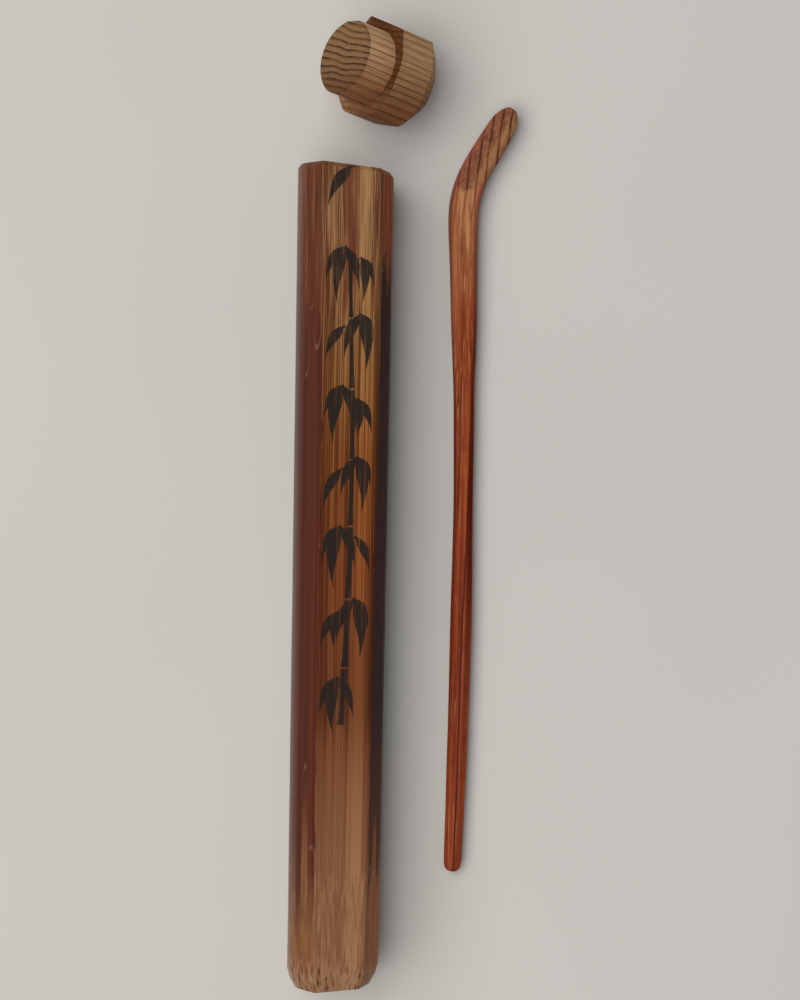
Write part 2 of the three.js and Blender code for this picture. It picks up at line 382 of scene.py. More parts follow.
# Smoked bamboo. The wide front side is shaved flat under the skin: satin, with fine straight
# fibres, palest at both ends.
smoked_bamboo, tree, surface, place = new_finish("shaved_smoked_bamboo")
shaved_deep = [(0.0, "#84593d"), (0.11, "#7d5034"), (0.2, "#724026"), (0.27, "#552a15"),
               (0.37, "#542713"), (0.5, "#522410"), (0.72, "#52260f"), (0.83, "#5a2f15"),
               (1.0, "#613622")]
shaved_pale = [(0.0, "#aa7d57"), (0.11, "#9c6c48"), (0.2, "#905c38"), (0.27, "#834d2b"),
               (0.37, "#884e2a"), (0.5, "#945329"), (0.72, "#9c5c2b"), (0.83, "#a6723e"),
               (1.0, "#ad8256")]
# Across the side from left to right: pale, a deeper heart, pale again and deep at the arris.
front_lean = [(0.0, "#606060"), (0.14, "#a8a8a8"), (0.34, "#9c9c9c"), (0.5, "#505050"),
              (0.66, "#b8b8b8"), (0.92, "#f0f0f0"), (1.0, "#707070")]
front, streaks = shaved_colour(tree, place, shaved_deep, shaved_pale, front_lean)
around, along = round_and_along(tree, place)
heart = stripe(tree, add(tree, "Math SUBTRACT", around, 1.9), 2.6, 1.0)
heart = add(tree, "Math MULTIPLY", heart, add(tree, "MapRange SMOOTHSTEP", along, 52.0, 72.0))
front = add(tree, "Mix RGBA", add(tree, "Math MULTIPLY", heart, 0.45), front, "#753c28")

# The other sides keep the hard outer skin: dark red, smooth and glossy. On the right it is
# painted darker toward the foot: painted shade, on the side turned away from the window.
# Toward both ends the knife has gone through it in long tongues with a fine pale rim.
shaved, _ = shaved_colour(
    tree, place,
    [(0.0, "#694027"), (0.1, "#643922"), (0.25, "#4f2a19"), (0.75, "#3e1b13"), (1.0, "#492114")],
    [(0.0, "#8d5f3a"), (0.1, "#865634"), (0.25, "#74462e"), (0.75, "#643221"), (1.0, "#7b4423")])
skin = add(tree, "ValToRGB", patches(tree, place, 1.6, 200, 2.0),
           stops=[(0.35, "#451b11"), (0.65, "#5a2713")])
right_starts, right_full = 7.5, 9.0
to_right = add(tree, "MapRange SMOOTHSTEP", around, right_starts, right_full)
nearing_foot = add(tree, "MapRange SMOOTHSTEP", along, -25.0, -62.0)
# Painted shade: on the right, turned away from the window, the skin is painted darker toward the
# foot.
right_skin_painted_shade = add(tree, "Mix RGBA", nearing_foot, "#36110a", "#5c3022")
skin = add(tree, "Mix RGBA", to_right, skin, right_skin_painted_shade)
# What the knife has bared on the right is redder, and it is also painted brighter, most toward
# the mouth: painted light standing in for the window light that does not reach that side.
redder_and_painted_light = add(tree, "VectorMath MULTIPLY", shaved, (1.75, 1.4, 1.12))
redder_and_painted_light = add(tree, "VectorMath SCALE", redder_and_painted_light,
             add(tree, "MapRange SMOOTHSTEP", along, 0.0, 60.0, 1.0, 1.38))
shaved = add(tree, "Mix RGBA", to_right, shaved, redder_and_painted_light)


def tongues(ends, way, all_cut):
    """How far a place lies inside any of the tongues, in millimetres from the rim. Each has its
    place round the case and that of its tip along it. Past all_cut, the skin is gone all round."""
    inside = add(tree, "Math MULTIPLY_ADD", along, way, -all_cut * way)
    for at, tip in ends:
        squared = add(tree, "Math POWER", add(tree, "Math SUBTRACT", around, at), 2.0)
        drop = add(tree, "Math MULTIPLY", add(tree, "Math MULTIPLY", squared, squared), -4.0)
        depth = add(tree, "Math ADD", add(tree, "Math MULTIPLY_ADD", along, way, -tip * way), drop)
        inside = add(tree, "Math MAXIMUM", inside, depth)
    return inside


mouth_tongues = [(-5.3, 52), (-7.6, 61), (-9.3, 46), (-12.4, 57), (-15.4, 49), (9.6, 70),
                 (12.1, 65), (15.2, 58), (18.4, 66)]
foot_tongues = [(-4.7, -61), (-7.1, -43), (-9.4, -66), (-11.7, -57), (-15.6, -48), (8.9, -66),
                (11.1, -54), (14.5, -62), (18.0, -57)]
cut_through = add(tree, "Math MAXIMUM", tongues(mouth_tongues, 1, 72),
                  tongues(foot_tongues, -1, -67))
# The skin thins out over a length of 24 mm on the left and of 5 mm on the right.
fade = add(tree, "MapRange SMOOTHSTEP", around, right_starts, right_full, 24.0, 5.0)
bared = add(tree, "MapRange SMOOTHSTEP", cut_through, -0.3, fade)
flanks = add(tree, "Mix RGBA", bared, skin, shaved)
rim = add(tree, "Math MULTIPLY", stripe(tree, cut_through, 0.9, 0.1, 0.45),
          add(tree, "MapRange SMOOTHSTEP", patches(tree, place, 3, 8), 0.35, 0.6))
flanks = add(tree, "Mix RGBA", rim, flanks, "#95705a")
# Close to the foot, the left flank is scraped in ochre patches.
scraped = add(tree, "MapRange SMOOTHSTEP", patches(tree, place, 2.5, 6), 0.48, 0.6, 0.0, 0.8)
left_foot = add(tree, "Math MULTIPLY", add(tree, "MapRange SMOOTHSTEP", along, -77.0, -83.0),
                add(tree, "MapRange SMOOTHSTEP", around, -3.0, -4.5))
flanks = add(tree, "Mix RGBA", add(tree, "Math MULTIPLY", scraped, left_foot), flanks, "#85562e")

# The border between them wanders along the arrises, and the skin bites into it once halfway down.
wander = add(tree, "Math MULTIPLY_ADD", patches(tree, place, 20, 9, 2.0), 1.0, -0.5)
bite = stripe(tree, add(tree, "Math SUBTRACT", along, 4.4), 2.6, 0.2, 0.75)
inward = add(tree, "Math ADD", wander, bite)
left_border = add(tree, "MapRange SMOOTHSTEP", along, 48.0, 64.0, -3.85, -4.7)
left_border = add(tree, "Math ADD", left_border, inward)
right_border = add(tree, "MapRange SMOOTHSTEP", along, -20.0, 30.0, 7.95, 8.7)
right_border = add(tree, "Math SUBTRACT", right_border, inward)
past_left = add(tree, "Math SUBTRACT", around, left_border)
before_right = add(tree, "Math SUBTRACT", right_border, around)
is_front = add(tree, "Math MULTIPLY", add(tree, "MapRange SMOOTHSTEP", past_left, -0.12, 0.12),
               add(tree, "MapRange SMOOTHSTEP", before_right, -0.2, 0.2))
colour = add(tree, "Mix RGBA", is_front, flanks, front)
left_line = add(tree, "Math MULTIPLY", stripe(tree, past_left, 0.5, 0.1),
                add(tree, "MapRange SMOOTHSTEP", along, 58.0, 80.0, 0.0, 0.6))
colour = add(tree, "Mix RGBA", left_line, colour, "#451a0e")
tree.links.new(foot_pores(tree, place, colour), surface.inputs["Base Color"])
roughness = add(tree, "MapRange SMOOTHSTEP", is_front, 0.0, 1.0, 0.4, 0.5)
tree.links.new(roughness, surface.inputs["Roughness"])
shine = add(tree, "MapRange SMOOTHSTEP", around, -9.5, -14.5, 0.08, 1.0)
tree.links.new(shine, surface.inputs["Specular IOR Level"])
# The fibres stand up from the surface by a few hundredths of a millimetre.
raised = add(tree, "Bump", Height=streaks, Distance=0.04 * mm, Strength=0.6)
tree.links.new(raised, surface.inputs["Normal"])

# Cut ends of the bamboo: matt, with the dark dots of the fibre bundles about 0.7 mm apart.
sawn_bamboo, tree, surface, place = new_finish("sawn_bamboo_end")
dot_map = add(tree, "Mapping", place, Scale=(1400, 350, 1400))
dots = add(tree, "TexVoronoi", dot_map, Scale=1.0)
ground = add(tree, "ValToRGB", patches(tree, place, 2.0, 2.0),
             stops=[(0.3, "#8a6544"), (0.7, "#a47e58")])
in_dot = add(tree, "MapRange SMOOTHSTEP", dots, 0.42, 0.25)
colour = add(tree, "Mix RGBA", in_dot, ground, "#3a2418")
tree.links.new(colour, surface.inputs["Base Color"])
surface.inputs["Roughness"].default_value = 0.75
raised = add(tree, "Bump", Height=dots, Distance=0.08 * mm, Strength=0.6)
tree.links.new(raised, surface.inputs["Normal"])

# The bore: the culm's pale inner wall, dull and faintly streaked.
inner_bamboo, tree, surface, place = new_finish("bored_bamboo_wall")
wall = patches(tree, place, 0.8, 40)
tree.links.new(add(tree, "ValToRGB", wall, stops=[(0.3, "#8d6a45"), (0.7, "#b28c60")]),
               surface.inputs["Base Color"])
surface.inputs["Roughness"].default_value = 0.7
raised = add(tree, "Bump", Height=wall, Distance=0.05 * mm, Strength=0.6)
tree.links.new(raised, surface.inputs["Normal"])

for finish in (smoked_bamboo, sawn_bamboo, inner_bamboo):
    case.data.materials.append(finish)
for face in case.data.polygons:
    if reach(face.center) < bore_radius + 0.02 * mm and face.center.y > floor_y - 0.1 * mm:
        face.material_index = 2
    elif abs(face.normal.y) > 0.9:
        face.material_index = 1
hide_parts("bamboo_tube")
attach(case, "case")


# Ink on the case
# A spray of bamboo brushed down the wide front side in black ink, which has sunk into the fibres.
painted_way = Vector((cos(radians(painted_side)), 0, sin(radians(painted_side))))
across_side = Vector((sin(radians(painted_side)), 0, -cos(radians(painted_side))))
painted_at_mouth, painted_at_foot = next(side[1:3] for side in sides if side[0] == painted_side)
ink_stands = 0.015 * mm
ink_depth = 0.16 * mm


def on_side(across, along, layer):
    """Places a flat stroke on the painted side: millimetres to the right of and along the case.
    Strokes that cross lie in layers."""
    share = (along * mm - foot.y) / tube_length
    surface_at = (1 - share) * painted_at_foot + share * painted_at_mouth
    distance = surface_at + ink_stands * (1 + 0.3 * layer)
    at = Vector((0, along * mm, tube_middle)) + painted_way * distance + across_side * across * mm
    facing = Matrix((across_side, (0, 1, 0), painted_way)).transposed().to_4x4()
    return Matrix.Translation(at) @ facing


def brush_stroke(name, widths, bend):
    """A flat stroke one unit long, down from its start, with its width and bend at even steps."""
    steps = len(widths) - 1
    bpy.ops.object.select_all(action="DESELECT")
    bpy.ops.mesh.primitive_grid_add(x_subdivisions=4, y_subdivisions=steps, size=1,
                                    location=(0, -0.5, 0))
    stroke = new_piece(name)
    bpy.ops.object.mode_set(mode="EDIT")
    for step, width in enumerate(widths):
        y = -step / steps
        pick(stroke, "VERT", lambda corner: abs(corner.co.y - y) < 0.3 / steps)
        bpy.ops.transform.resize(value=(max(width, 0.01), 1, 1), center_override=(0, y, 0))
        bow = 4 * -y * (1 + y)
        bpy.ops.transform.translate(value=(bend * bow, 0, 0))
    bpy.ops.object.mode_set(mode="OBJECT")
    return stroke


leaf_widths = [0.05, 0.3, 0.62, 0.86, 0.98, 1.0, 0.94, 0.84, 0.7, 0.55, 0.4, 0.27, 0.15, 0.07,
               0.01]
leaf_left = brush_stroke("leaf_left", leaf_widths, -0.35)
leaf_right = brush_stroke("leaf_right", leaf_widths, 0.35)
joint_stroke = brush_stroke("joint_stroke", [1.25, 1.0, 0.9, 0.88, 0.88, 0.9, 1.0, 1.3], 0.05)

# Strokes down the stem: millimetres across and along, the way down in degrees, length and width.
stem_strokes = [
    (-0.6, 71.5, 2, 12.6, 0.8), (-0.2, 58.4, 2, 15.5, 0.9), (0.3, 42.4, 1, 15.5, 1.0),
    (0.5, 26.4, 0, 14.5, 1.1), (0.5, 11.4, -1, 16.0, 1.2), (0.2, -5.2, -2, 15.0, 1.3),
    (-0.4, -20.8, -3, 12.5, 1.4),
]
# Clusters of leaves: where each hangs, across and along, and its leaves' way down, length and
# width.
clusters = [
    (-1.8, 75.0, [(-30, 8.6, 2.3), (-7, 13.0, 2.8), (19, 10.5, 2.3)]),
    (1.9, 72.6, [(26, 7.2, 1.9), (3, 10.0, 2.2)]),
    (2.0, 59.8, [(25, 7.0, 2.0), (6, 13.0, 2.7), (-20, 10.5, 2.4)]),
    (-1.7, 57.0, [(-29, 8.8, 2.2)]),
    (-1.9, 43.6, [(-30, 8.2, 2.1), (-8, 13.5, 2.8), (17, 11.0, 2.5)]),
    (1.6, 40.6, [(24, 8.2, 2.1), (0, 8.5, 1.9)]),
    (1.8, 27.4, [(26, 7.2, 2.0), (5, 12.5, 2.7), (-23, 9.5, 2.3)]),
    (-1.7, 24.8, [(-25, 10.0, 2.2)]),
    (-2.0, 11.8, [(-27, 8.8, 2.2), (-5, 14.0, 2.9), (21, 10.0, 2.3)]),
    (1.7, 9.4, [(22, 8.6, 2.1)]),
    (1.6, -4.6, [(26, 7.6, 2.0), (6, 13.5, 2.8), (-22, 10.5, 2.4)]),
    (-2.0, -7.6, [(-26, 9.0, 2.2), (-5, 8.5, 1.9)]),
    (-1.9, -22.4, [(-26, 9.0, 2.3), (-4, 13.0, 2.7), (22, 10.0, 2.2)]),
    (-0.6, 93.2, [(-30, 10.5, 2.6)]),
]
# A twig goes up from the stem to each cluster, but for the last, which hangs in past the mouth.
stem_top, stem_across = 76, 0.1
twig_rise, twig_width = 2.4, 0.4
strokes = [(joint_stroke, stroke) for stroke in stem_strokes]
for hangs_across, hangs_along, leaves in clusters:
    twig = Vector((hangs_across - stem_across, twig_rise))
    if hangs_along < stem_top:
        strokes.append((joint_stroke, (stem_across, hangs_along - twig_rise,
                                       degrees(atan2(twig.x, -twig.y)), twig.length, twig_width)))
    for way, length, width in leaves:
        strokes.append((leaf_left if way < 0 else leaf_right,
                        (hangs_across, hangs_along, way, length, width)))
brushed = []
for number, (start, (across, along, way, length, width)) in enumerate(strokes):
    copy = bpy.data.objects.new("ink_stroke", start.data.copy())
    bpy.context.collection.objects.link(copy)
    copy.data.transform(on_side(across, along, number % 6) @ Matrix.Rotation(radians(way), 4, "Z")
                        @ Matrix.Diagonal((width * mm, length * mm, 1, 1)))
    brushed.append(copy)
for start in (leaf_left, leaf_right, joint_stroke):
    bpy.data.objects.remove(start)
bpy.ops.object.select_all(action="DESELECT")
for copy in brushed:
    copy.select_set(True)
bpy.context.view_layer.objects.active = brushed[0]
bpy.ops.object.join()
ink = bpy.context.object
ink.name = "brushed_ink_spray"
apply_modifier(ink, "SOLIDIFY", thickness=ink_depth, offset=-1)

# Soot ink: matt black-brown, thinner where the brush ran dry along the fibres.
soot_ink, tree, surface, place = new_finish("brushed_soot_ink")
colour, _ = shaved_colour(tree, place, shaved_deep, shaved_pale, front_lean)
dry = add(tree, "MapRange SMOOTHSTEP", patches(tree, place, 0.6, 12), 0.5, 0.75, 0.04, 0.5)
tree.links.new(add(tree, "Mix RGBA", dry, "#1e1712", colour), surface.inputs["Base Color"])
surface.inputs["Roughness"].default_value = 0.6
surface.inputs["Specular IOR Level"].default_value = 0.2
ink.data.materials.append(soot_ink)
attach(ink, "case")


# Stopper
# One block of coarse striped wood: a short round spigot, pared by knife, and a head that carries
# on the eight sides of the case. It is cut as it sits in the mouth and then laid beside the case.
head_length = 9.1 * mm
crown_height = 4.5 * mm
crown_inset = 3.8 * mm
spigot_length = 7.97 * mm
spigot_radius = 8.85 * mm
head_end = mouth.y + head_length + crown_height
resting_side = 183
rest_distance = next(side[1] for side in sides if side[0] == resting_side)
stopper = round_bar("striped_wood_stopper", stock_radius, mouth.y, head_end, corners=64)
shave(stopper, narrowing=0)
cut((0, mouth.y + head_length, 0), (0, 1, 0))
draw_in(stopper, head_end, 1 - crown_inset / rest_distance)
bpy.ops.object.mode_set(mode="OBJECT")

# The spigot reaches a little into the head. Its end is drawn in, and the knife has pared it: the
# way each cut faces and its distance from the middle line.
sunk = 2 * mm
spigot_end = mouth.y - spigot_length
end_edge, end_curve = 0.15 * mm, 0.5 * mm
spigot = round_bar("spigot", spigot_radius, spigot_end, mouth.y + sunk, corners=72)
for y in (spigot_end + end_edge, spigot_end + end_curve):
    cut((0, y, 0), (0, 1, 0))
draw_in(spigot, spigot_end, 0.927)
draw_in(spigot, spigot_end + end_edge, 0.938)
draw_in(spigot, spigot_end + end_curve, 0.983)
paring_cuts = [(2, 8.7), (28, 8.7), (52, 8.7), (96, 8.35), (143, 8.6), (173, 8.5), (211, 8.6),
               (239, 8.65), (268, 8.5), (305, 8.5), (336, 8.6)]
for turn, distance in paring_cuts:
    facing = Vector((cos(radians(turn)), 0, sin(radians(turn))))
    cut(mouth + facing * distance * mm, facing, use_fill=True, clear_outer=True)
bpy.ops.mesh.select_all(action="SELECT")
bpy.ops.mesh.normals_make_consistent(inside=False)
bpy.ops.object.mode_set(mode="OBJECT")
apply_modifier(stopper, "BOOLEAN", object=spigot, operation="UNION", solver="EXACT")
bpy.data.objects.remove(spigot)
seated = Matrix.Translation((0, head_end, tube_middle)) @ Matrix.Rotation(pi / 2, 4, "X")
# It lies tipped over on the bevel of its crown, a hair above the table.
heading = radians(256.7)
tipped = atan2(crown_height, crown_inset)
rolled = radians(270 - resting_side)
rest_height = rest_distance * sin(tipped) - crown_height * cos(tipped) + 0.02 * mm
laid_at = (15.2 * mm, mouth.y + 19.8 * mm, rest_height)
laid = (Matrix.Translation(laid_at) @ Matrix.Rotation(heading, 4, "Z")
        @ Matrix.Rotation(tipped, 4, "X") @ Matrix.Rotation(rolled, 4, "Z"))
stopper.data.transform(laid @ seated.inverted())
bpy.ops.object.shade_smooth_by_angle(angle=radians(24))
apply_modifier(stopper, "WEIGHTED_NORMAL", keep_sharp=True)

# Coarse softwood with dark late growth 1.5 mm apart, in layers that run along the stopper.
layer_gap = 1.5
stopper_way = (laid.to_3x3() @ Vector((0, 0, 1))).normalized()
layer_way = stopper_way.cross(Vector((-stopper_way.z, 0, stopper_way.x)).normalized())
layer_turn = radians(-16)
layer_way = Matrix.Rotation(layer_turn, 3, stopper_way) @ layer_way
layer_way = -layer_way if layer_way.y < 0 else layer_way


def striped_wood(name, early, late, line, line_start, strength, roughness, stain_and_shade="#ffffff",
                 stain_and_shade_at=104.0):
    """Growth layers across the block: pale early wood that deepens toward a dark line of late
    wood. Toward the case the wood darkens, most at the given place along it, and a given tint
    darkens it on the right. Both are partly a stain the wood has drunk and partly painted shade."""
    finish, tree, surface, place = new_finish(name)
    in_mm = add(tree, "VectorMath SCALE", place, 1000.0)
    along = add(tree, "VectorMath DOT_PRODUCT", in_mm, stopper_way)
    # The grain runs 14 times as far along the stopper as across it.
    pulled = add(tree, "VectorMath SCALE", stopper_way, along)
    fibre = add(tree, "VectorMath MULTIPLY_ADD", pulled, (-0.93, -0.93, -0.93), in_mm)
    depth = add(tree, "VectorMath DOT_PRODUCT", in_mm, layer_way)
    # The layers drift over 10 mm and ripple over 2.2 mm. Blotches are 3 mm wide, pores 0.4 mm.
    drift, ripple, blotches, pores = [
        add(tree, "TexNoise", fibre, Scale=scale, Detail=detail, Roughness=0.6)
        for scale, detail in ((0.1, 1.0), (0.45, 1.0), (0.35, 3.0), (2.6, 3.0))]
    moved = add(tree, "Math MULTIPLY_ADD", drift, 2.6, depth)
    moved = add(tree, "Math MULTIPLY_ADD", ripple, 0.14, moved)
    layers = add(tree, "Math MULTIPLY", moved, 1 / layer_gap)
    ring = add(tree, "Math FRACT", layers)
    wood = add(tree, "Mix RGBA", add(tree, "MapRange SMOOTHSTEP", ring, 0.35, 0.95), early, late)
    in_line = add(tree, "Math MULTIPLY", add(tree, "MapRange SMOOTHSTEP", ring, line_start, 0.93),
                  add(tree, "MapRange SMOOTHSTEP", ring, 1.0, 0.93))
    each = add(tree, "TexWhiteNoise 1D", add(tree, "Math FLOOR", layers))
    some = add(tree, "Math MULTIPLY",
               add(tree, "MapRange SMOOTHSTEP", blotches, 0.38, 0.58, strength * 0.3, strength),
               add(tree, "MapRange SMOOTHSTEP", each, 0.0, 0.8, 0.45, 1.0))
    wood = add(tree, "Mix RGBA", add(tree, "Math MULTIPLY", in_line, some), wood, line)
    grainy = add(tree, "MapRange SMOOTHSTEP", pores, 0.3, 0.7, 0.8, 1.16)
    wood = add(tree, "VectorMath SCALE", wood, grainy)
    # The wood darkens toward the case: partly stain, partly painted shade.
    darkened = add(tree, "VectorMath MULTIPLY", wood, (0.4, 0.27, 0.21))
    x, y, _ = add(tree, "SeparateXYZ", in_mm).node.outputs
    to_case = add(tree, "MapRange SMOOTHSTEP", y, 121.5, stain_and_shade_at)
    wood = add(tree, "Mix RGBA", to_case, wood, darkened)
    # On the right a given tint darkens the wood further: partly stain, partly painted shade.
    stained_and_shaded = add(tree, "Math MULTIPLY", add(tree, "MapRange SMOOTHSTEP", x, 0.0, 6.0),
                  add(tree, "MapRange SMOOTHSTEP", y, 106.0, 114.0, 0.5, 1.0))
    stain_and_shade_tint = add(tree, "Mix RGBA", stained_and_shaded, "#ffffff", stain_and_shade)
    patchy = add(tree, "MapRange SMOOTHSTEP", patches(tree, place, 0.7, 0.7, 2.0), 0.35, 0.6,
                 1.0 if stain_and_shade == "#ffffff" else 0.7, 1.0)
    stain_and_shade_tint = add(tree, "VectorMath SCALE", stain_and_shade_tint, patchy)
    tree.links.new(add(tree, "VectorMath MULTIPLY", wood, stain_and_shade_tint), surface.inputs["Base Color"])
    surface.inputs["Roughness"].default_value = roughness
    surface.inputs["Specular IOR Level"].default_value = 0.08
    raised = add(tree, "Bump", Height=pores, Distance=0.08 * mm, Strength=0.6)
    tree.links.new(raised, surface.inputs["Normal"])
    return finish


# Split flanks are tan with fine lines, and the spigot's are paler. Both ends are duller with bold
# lines, and the sawn shoulder is dark brown: partly stain its end grain has drunk, partly painted
# shade.
stopper.data.materials.clear()
stopper.data.materials.append(striped_wood(
    "striped_wood_flank", "#c3986d", "#b48962", "#513019", 0.74, 0.95, 0.6))
stopper.data.materials.append(striped_wood(
    "striped_wood_spigot_end", "#866443", "#6e4f32", "#362420", 0.5, 1.0, 0.7))
stopper.data.materials.append(striped_wood(
    "striped_wood_shoulder", "#c3986d", "#a87e57", "#513019", 0.74, 0.6, 0.75, stain_and_shade="#876e59",
    stain_and_shade_at=101.0))
stopper.data.materials.append(striped_wood(
    "striped_wood_spigot_flank", "#dcae80", "#cb9c72", "#5a371f", 0.76, 0.9, 0.6,
    stain_and_shade_at=108.0))
shoulder_at = head_length + crown_height
for face in stopper.data.polygons:
    along = (face.center - laid.translation).dot(stopper_way)
    if along > shoulder_at + spigot_length - end_curve:
        face.material_index = 1
    elif abs(face.normal.dot(stopper_way)) < 0.9:
        face.material_index = 3 if along > shoulder_at else 0
    else:
        face.material_index = 2 if along > head_length else 1
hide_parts("stopper")
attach(stopper, "stopper")


# Tea scoop
# Carved from one stick of striped wood and bent near its end. The handle is lacquered a clear
# red-brown, and the blade is left bare. The carved form is the solid's, with its facets smoothed.
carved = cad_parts["tea_scoop"]
scoop = bpy.data.objects.new("lacquered_tea_scoop", carved.data.copy())
bpy.context.collection.objects.link(scoop)
bpy.ops.object.select_all(action="DESELECT")
scoop.select_set(True)
bpy.context.view_layer.objects.active = scoop
bpy.ops.object.mode_set(mode="EDIT")
bpy.ops.mesh.select_all(action="SELECT")
bpy.ops.mesh.remove_doubles(threshold=0.001 * mm)
bpy.ops.mesh.tris_convert_to_quads()
bpy.ops.mesh.select_mode(type="EDGE")
bpy.ops.mesh.select_all(action="DESELECT")
bpy.ops.mesh.edges_select_sharp(sharpness=radians(26))
bpy.ops.transform.edge_crease(value=0.75)
bpy.ops.object.mode_set(mode="OBJECT")
apply_modifier(scoop, "SUBSURF", levels=2, render_levels=2)
bpy.ops.object.shade_smooth_by_angle(angle=radians(30))

# The handle is glossy red-brown under clear lacquer, with a paler left face, a deep red right one
# and a dark line between them. The right face's deep red is partly painted shade, on the side
# turned away from the window. The blade is bare: duller, tan, with bold dark growth lines.
lacquered_wood, tree, surface, place = new_finish("clear_lacquered_striped_wood")
in_mm = add(tree, "VectorMath SCALE", place, 1000.0)
aside, along, _ = add(tree, "SeparateXYZ", in_mm).node.outputs


def curve(tree, points):
    """A smooth curve along the scoop through points, each millimetres along and aside."""
    lowest, highest = min(x for _, x in points), max(x for _, x in points)
    start, end = points[0][0], points[-1][0]
    made = add(tree, "FloatCurve", Value=add(tree, "MapRange LINEAR", along, start, end)).node
    drawn = made.mapping.curves[0].points
    spots = [((y - start) / (end - start), (x - lowest) / (highest - lowest)) for y, x in points]
    drawn[0].location, drawn[1].location = spots[0], spots[-1]
    for spot in spots[1:-1]:
        drawn.new(*spot)
    made.mapping.update()
    return add(tree, "Math MULTIPLY_ADD", made.outputs["Value"], highest - lowest, lowest)


# The left edge of the scoop, and the ridge down its handle.
left_edge = curve(tree, [(-70, 25.47), (-10, 25.98), (20, 26.21), (40, 25.86), (60, 24.89),
                         (84, 23.85), (90, 24.41), (94, 25.68), (100, 28.76), (110, 35.9)])
ridge = curve(tree, [(-70, 27.58), (-33.6, 28.32), (-6.8, 28.9), (16.2, 29.58), (41.5, 29.86),
                     (92, 29.95)])
from_left = add(tree, "Math SUBTRACT", aside, left_edge)
from_ridge = add(tree, "Math SUBTRACT", aside, ridge)
handle_end, lacquer_end = -70.0, 92.0
share = add(tree, "MapRange LINEAR", along, handle_end, lacquer_end)
wobble = add(tree, "Math MULTIPLY_ADD", patches(tree, place, 3, 14, 2.0), 0.5, -0.25)
from_ridge = add(tree, "Math ADD", from_ridge, wobble)

streaks = add(tree, "Math MULTIPLY_ADD", patches(tree, place, 0.9, 60, 2.0), 0.5,
              add(tree, "Math MULTIPLY", patches(tree, place, 0.25, 16, 3.0), 0.5))
streaks = add(tree, "MapRange SMOOTHSTEP", streaks, 0.4, 0.6)
deep = add(tree, "ValToRGB", share,
           stops=[(0.0, "#7d3019"), (0.3, "#6f230b"), (0.6, "#6f2409"), (0.8, "#772f12"),
                  (0.93, "#8e5130"), (1.0, "#8f5836")])
clear = add(tree, "ValToRGB", share,
            stops=[(0.0, "#aa552a"), (0.3, "#9a451f"), (0.6, "#99471e"), (0.8, "#9e4e28"),
                   (0.93, "#b6794c"), (1.0, "#b68056")])
handle = add(tree, "Mix RGBA", streaks, deep, clear)
right_face = add(tree, "Math MULTIPLY", add(tree, "MapRange SMOOTHSTEP", from_ridge, 0.0, 0.35),
                 add(tree, "MapRange SMOOTHSTEP", share, 0.2, 0.55, 0.7, 0.85))
# The right face's deep red, darkest on the upper handle, is partly painted shade for the side
# turned from the window.
right_red_and_shade = add(tree, "ValToRGB", share,
                stops=[(0.3, "#954a2f"), (0.55, "#722e22"), (0.8, "#7a3527"), (0.94, "#ae6448")])
handle = add(tree, "Mix RGBA", right_face, handle, right_red_and_shade)
# Its faces are faintly mottled.
mottled = add(tree, "MapRange SMOOTHSTEP", patches(tree, place, 1.3, 7, 3.0), 0.5, 0.66, 0.0, 0.5)
handle = add(tree, "Mix RGBA", mottled, handle, "#7c2a1a")
pale_threads = add(tree, "Math MULTIPLY",
                   add(tree, "MapRange SMOOTHSTEP", patches(tree, place, 0.3, 9, 1.0), 0.6, 0.72),
                   add(tree, "MapRange SMOOTHSTEP", share, 0.45, 0.9, 0.25, 0.6))
handle = add(tree, "Mix RGBA", pale_threads, handle, "#cc8a5e")
# The handle is painted darker where its rounded edges turn sideways: partly lacquer lying thicker
# there, partly painted shade on the sides turned away from the light above.
facing = add(tree, "TexCoord").node.outputs["Normal"]
sideways, _, _ = add(tree, "SeparateXYZ", facing).node.outputs
edges = add(tree, "Math MULTIPLY",
            add(tree, "MapRange SMOOTHSTEP", add(tree, "Math ABSOLUTE", sideways), 0.2, 0.7),
            add(tree, "MapRange SMOOTHSTEP", share, 0.0, 0.6, 0.25, 0.85))
handle = add(tree, "Mix RGBA", edges, handle,
             add(tree, "ValToRGB", share, stops=[(0.75, "#611f12"), (0.95, "#92513b")]))
# On the neck, a pale band and a dark edge run down the left.
on_neck = add(tree, "MapRange SMOOTHSTEP", along, 45.0, 80.0)
neck_band = add(tree, "MapRange SMOOTHSTEP", from_left, 2.2, 1.4, 0.0, 0.8)
neck_edge = add(tree, "MapRange SMOOTHSTEP", from_left, 1.2, 0.8, 0.0, 0.9)
for seen, tone in ((neck_band, "#b2673d"), (neck_edge, "#733a27")):
    handle = add(tree, "Mix RGBA", add(tree, "Math MULTIPLY", seen, on_neck), handle, tone)
# A dark line follows the ridge, and a second one runs 2.3 mm to its left for part of the way.
first_line = add(tree, "Math MULTIPLY", stripe(tree, from_ridge, 0.3, 0.08),
                 add(tree, "MapRange SMOOTHSTEP", along, 60.0, 10.0, 0.25, 0.9))
second_line = stripe(tree, add(tree, "Math ADD", from_ridge, 2.3), 0.28, 0.08)
second_part = add(tree, "Math MULTIPLY",
                  add(tree, "MapRange SMOOTHSTEP", along, 8.0, 18.0, 0.0, 0.7),
                  add(tree, "MapRange SMOOTHSTEP", along, 58.0, 46.0))
second_line = add(tree, "Math MULTIPLY", second_line, second_part)
ridge_lines = add(tree, "Math MAXIMUM", first_line, second_line)
handle = add(tree, "Mix RGBA", ridge_lines, handle, "#451409")

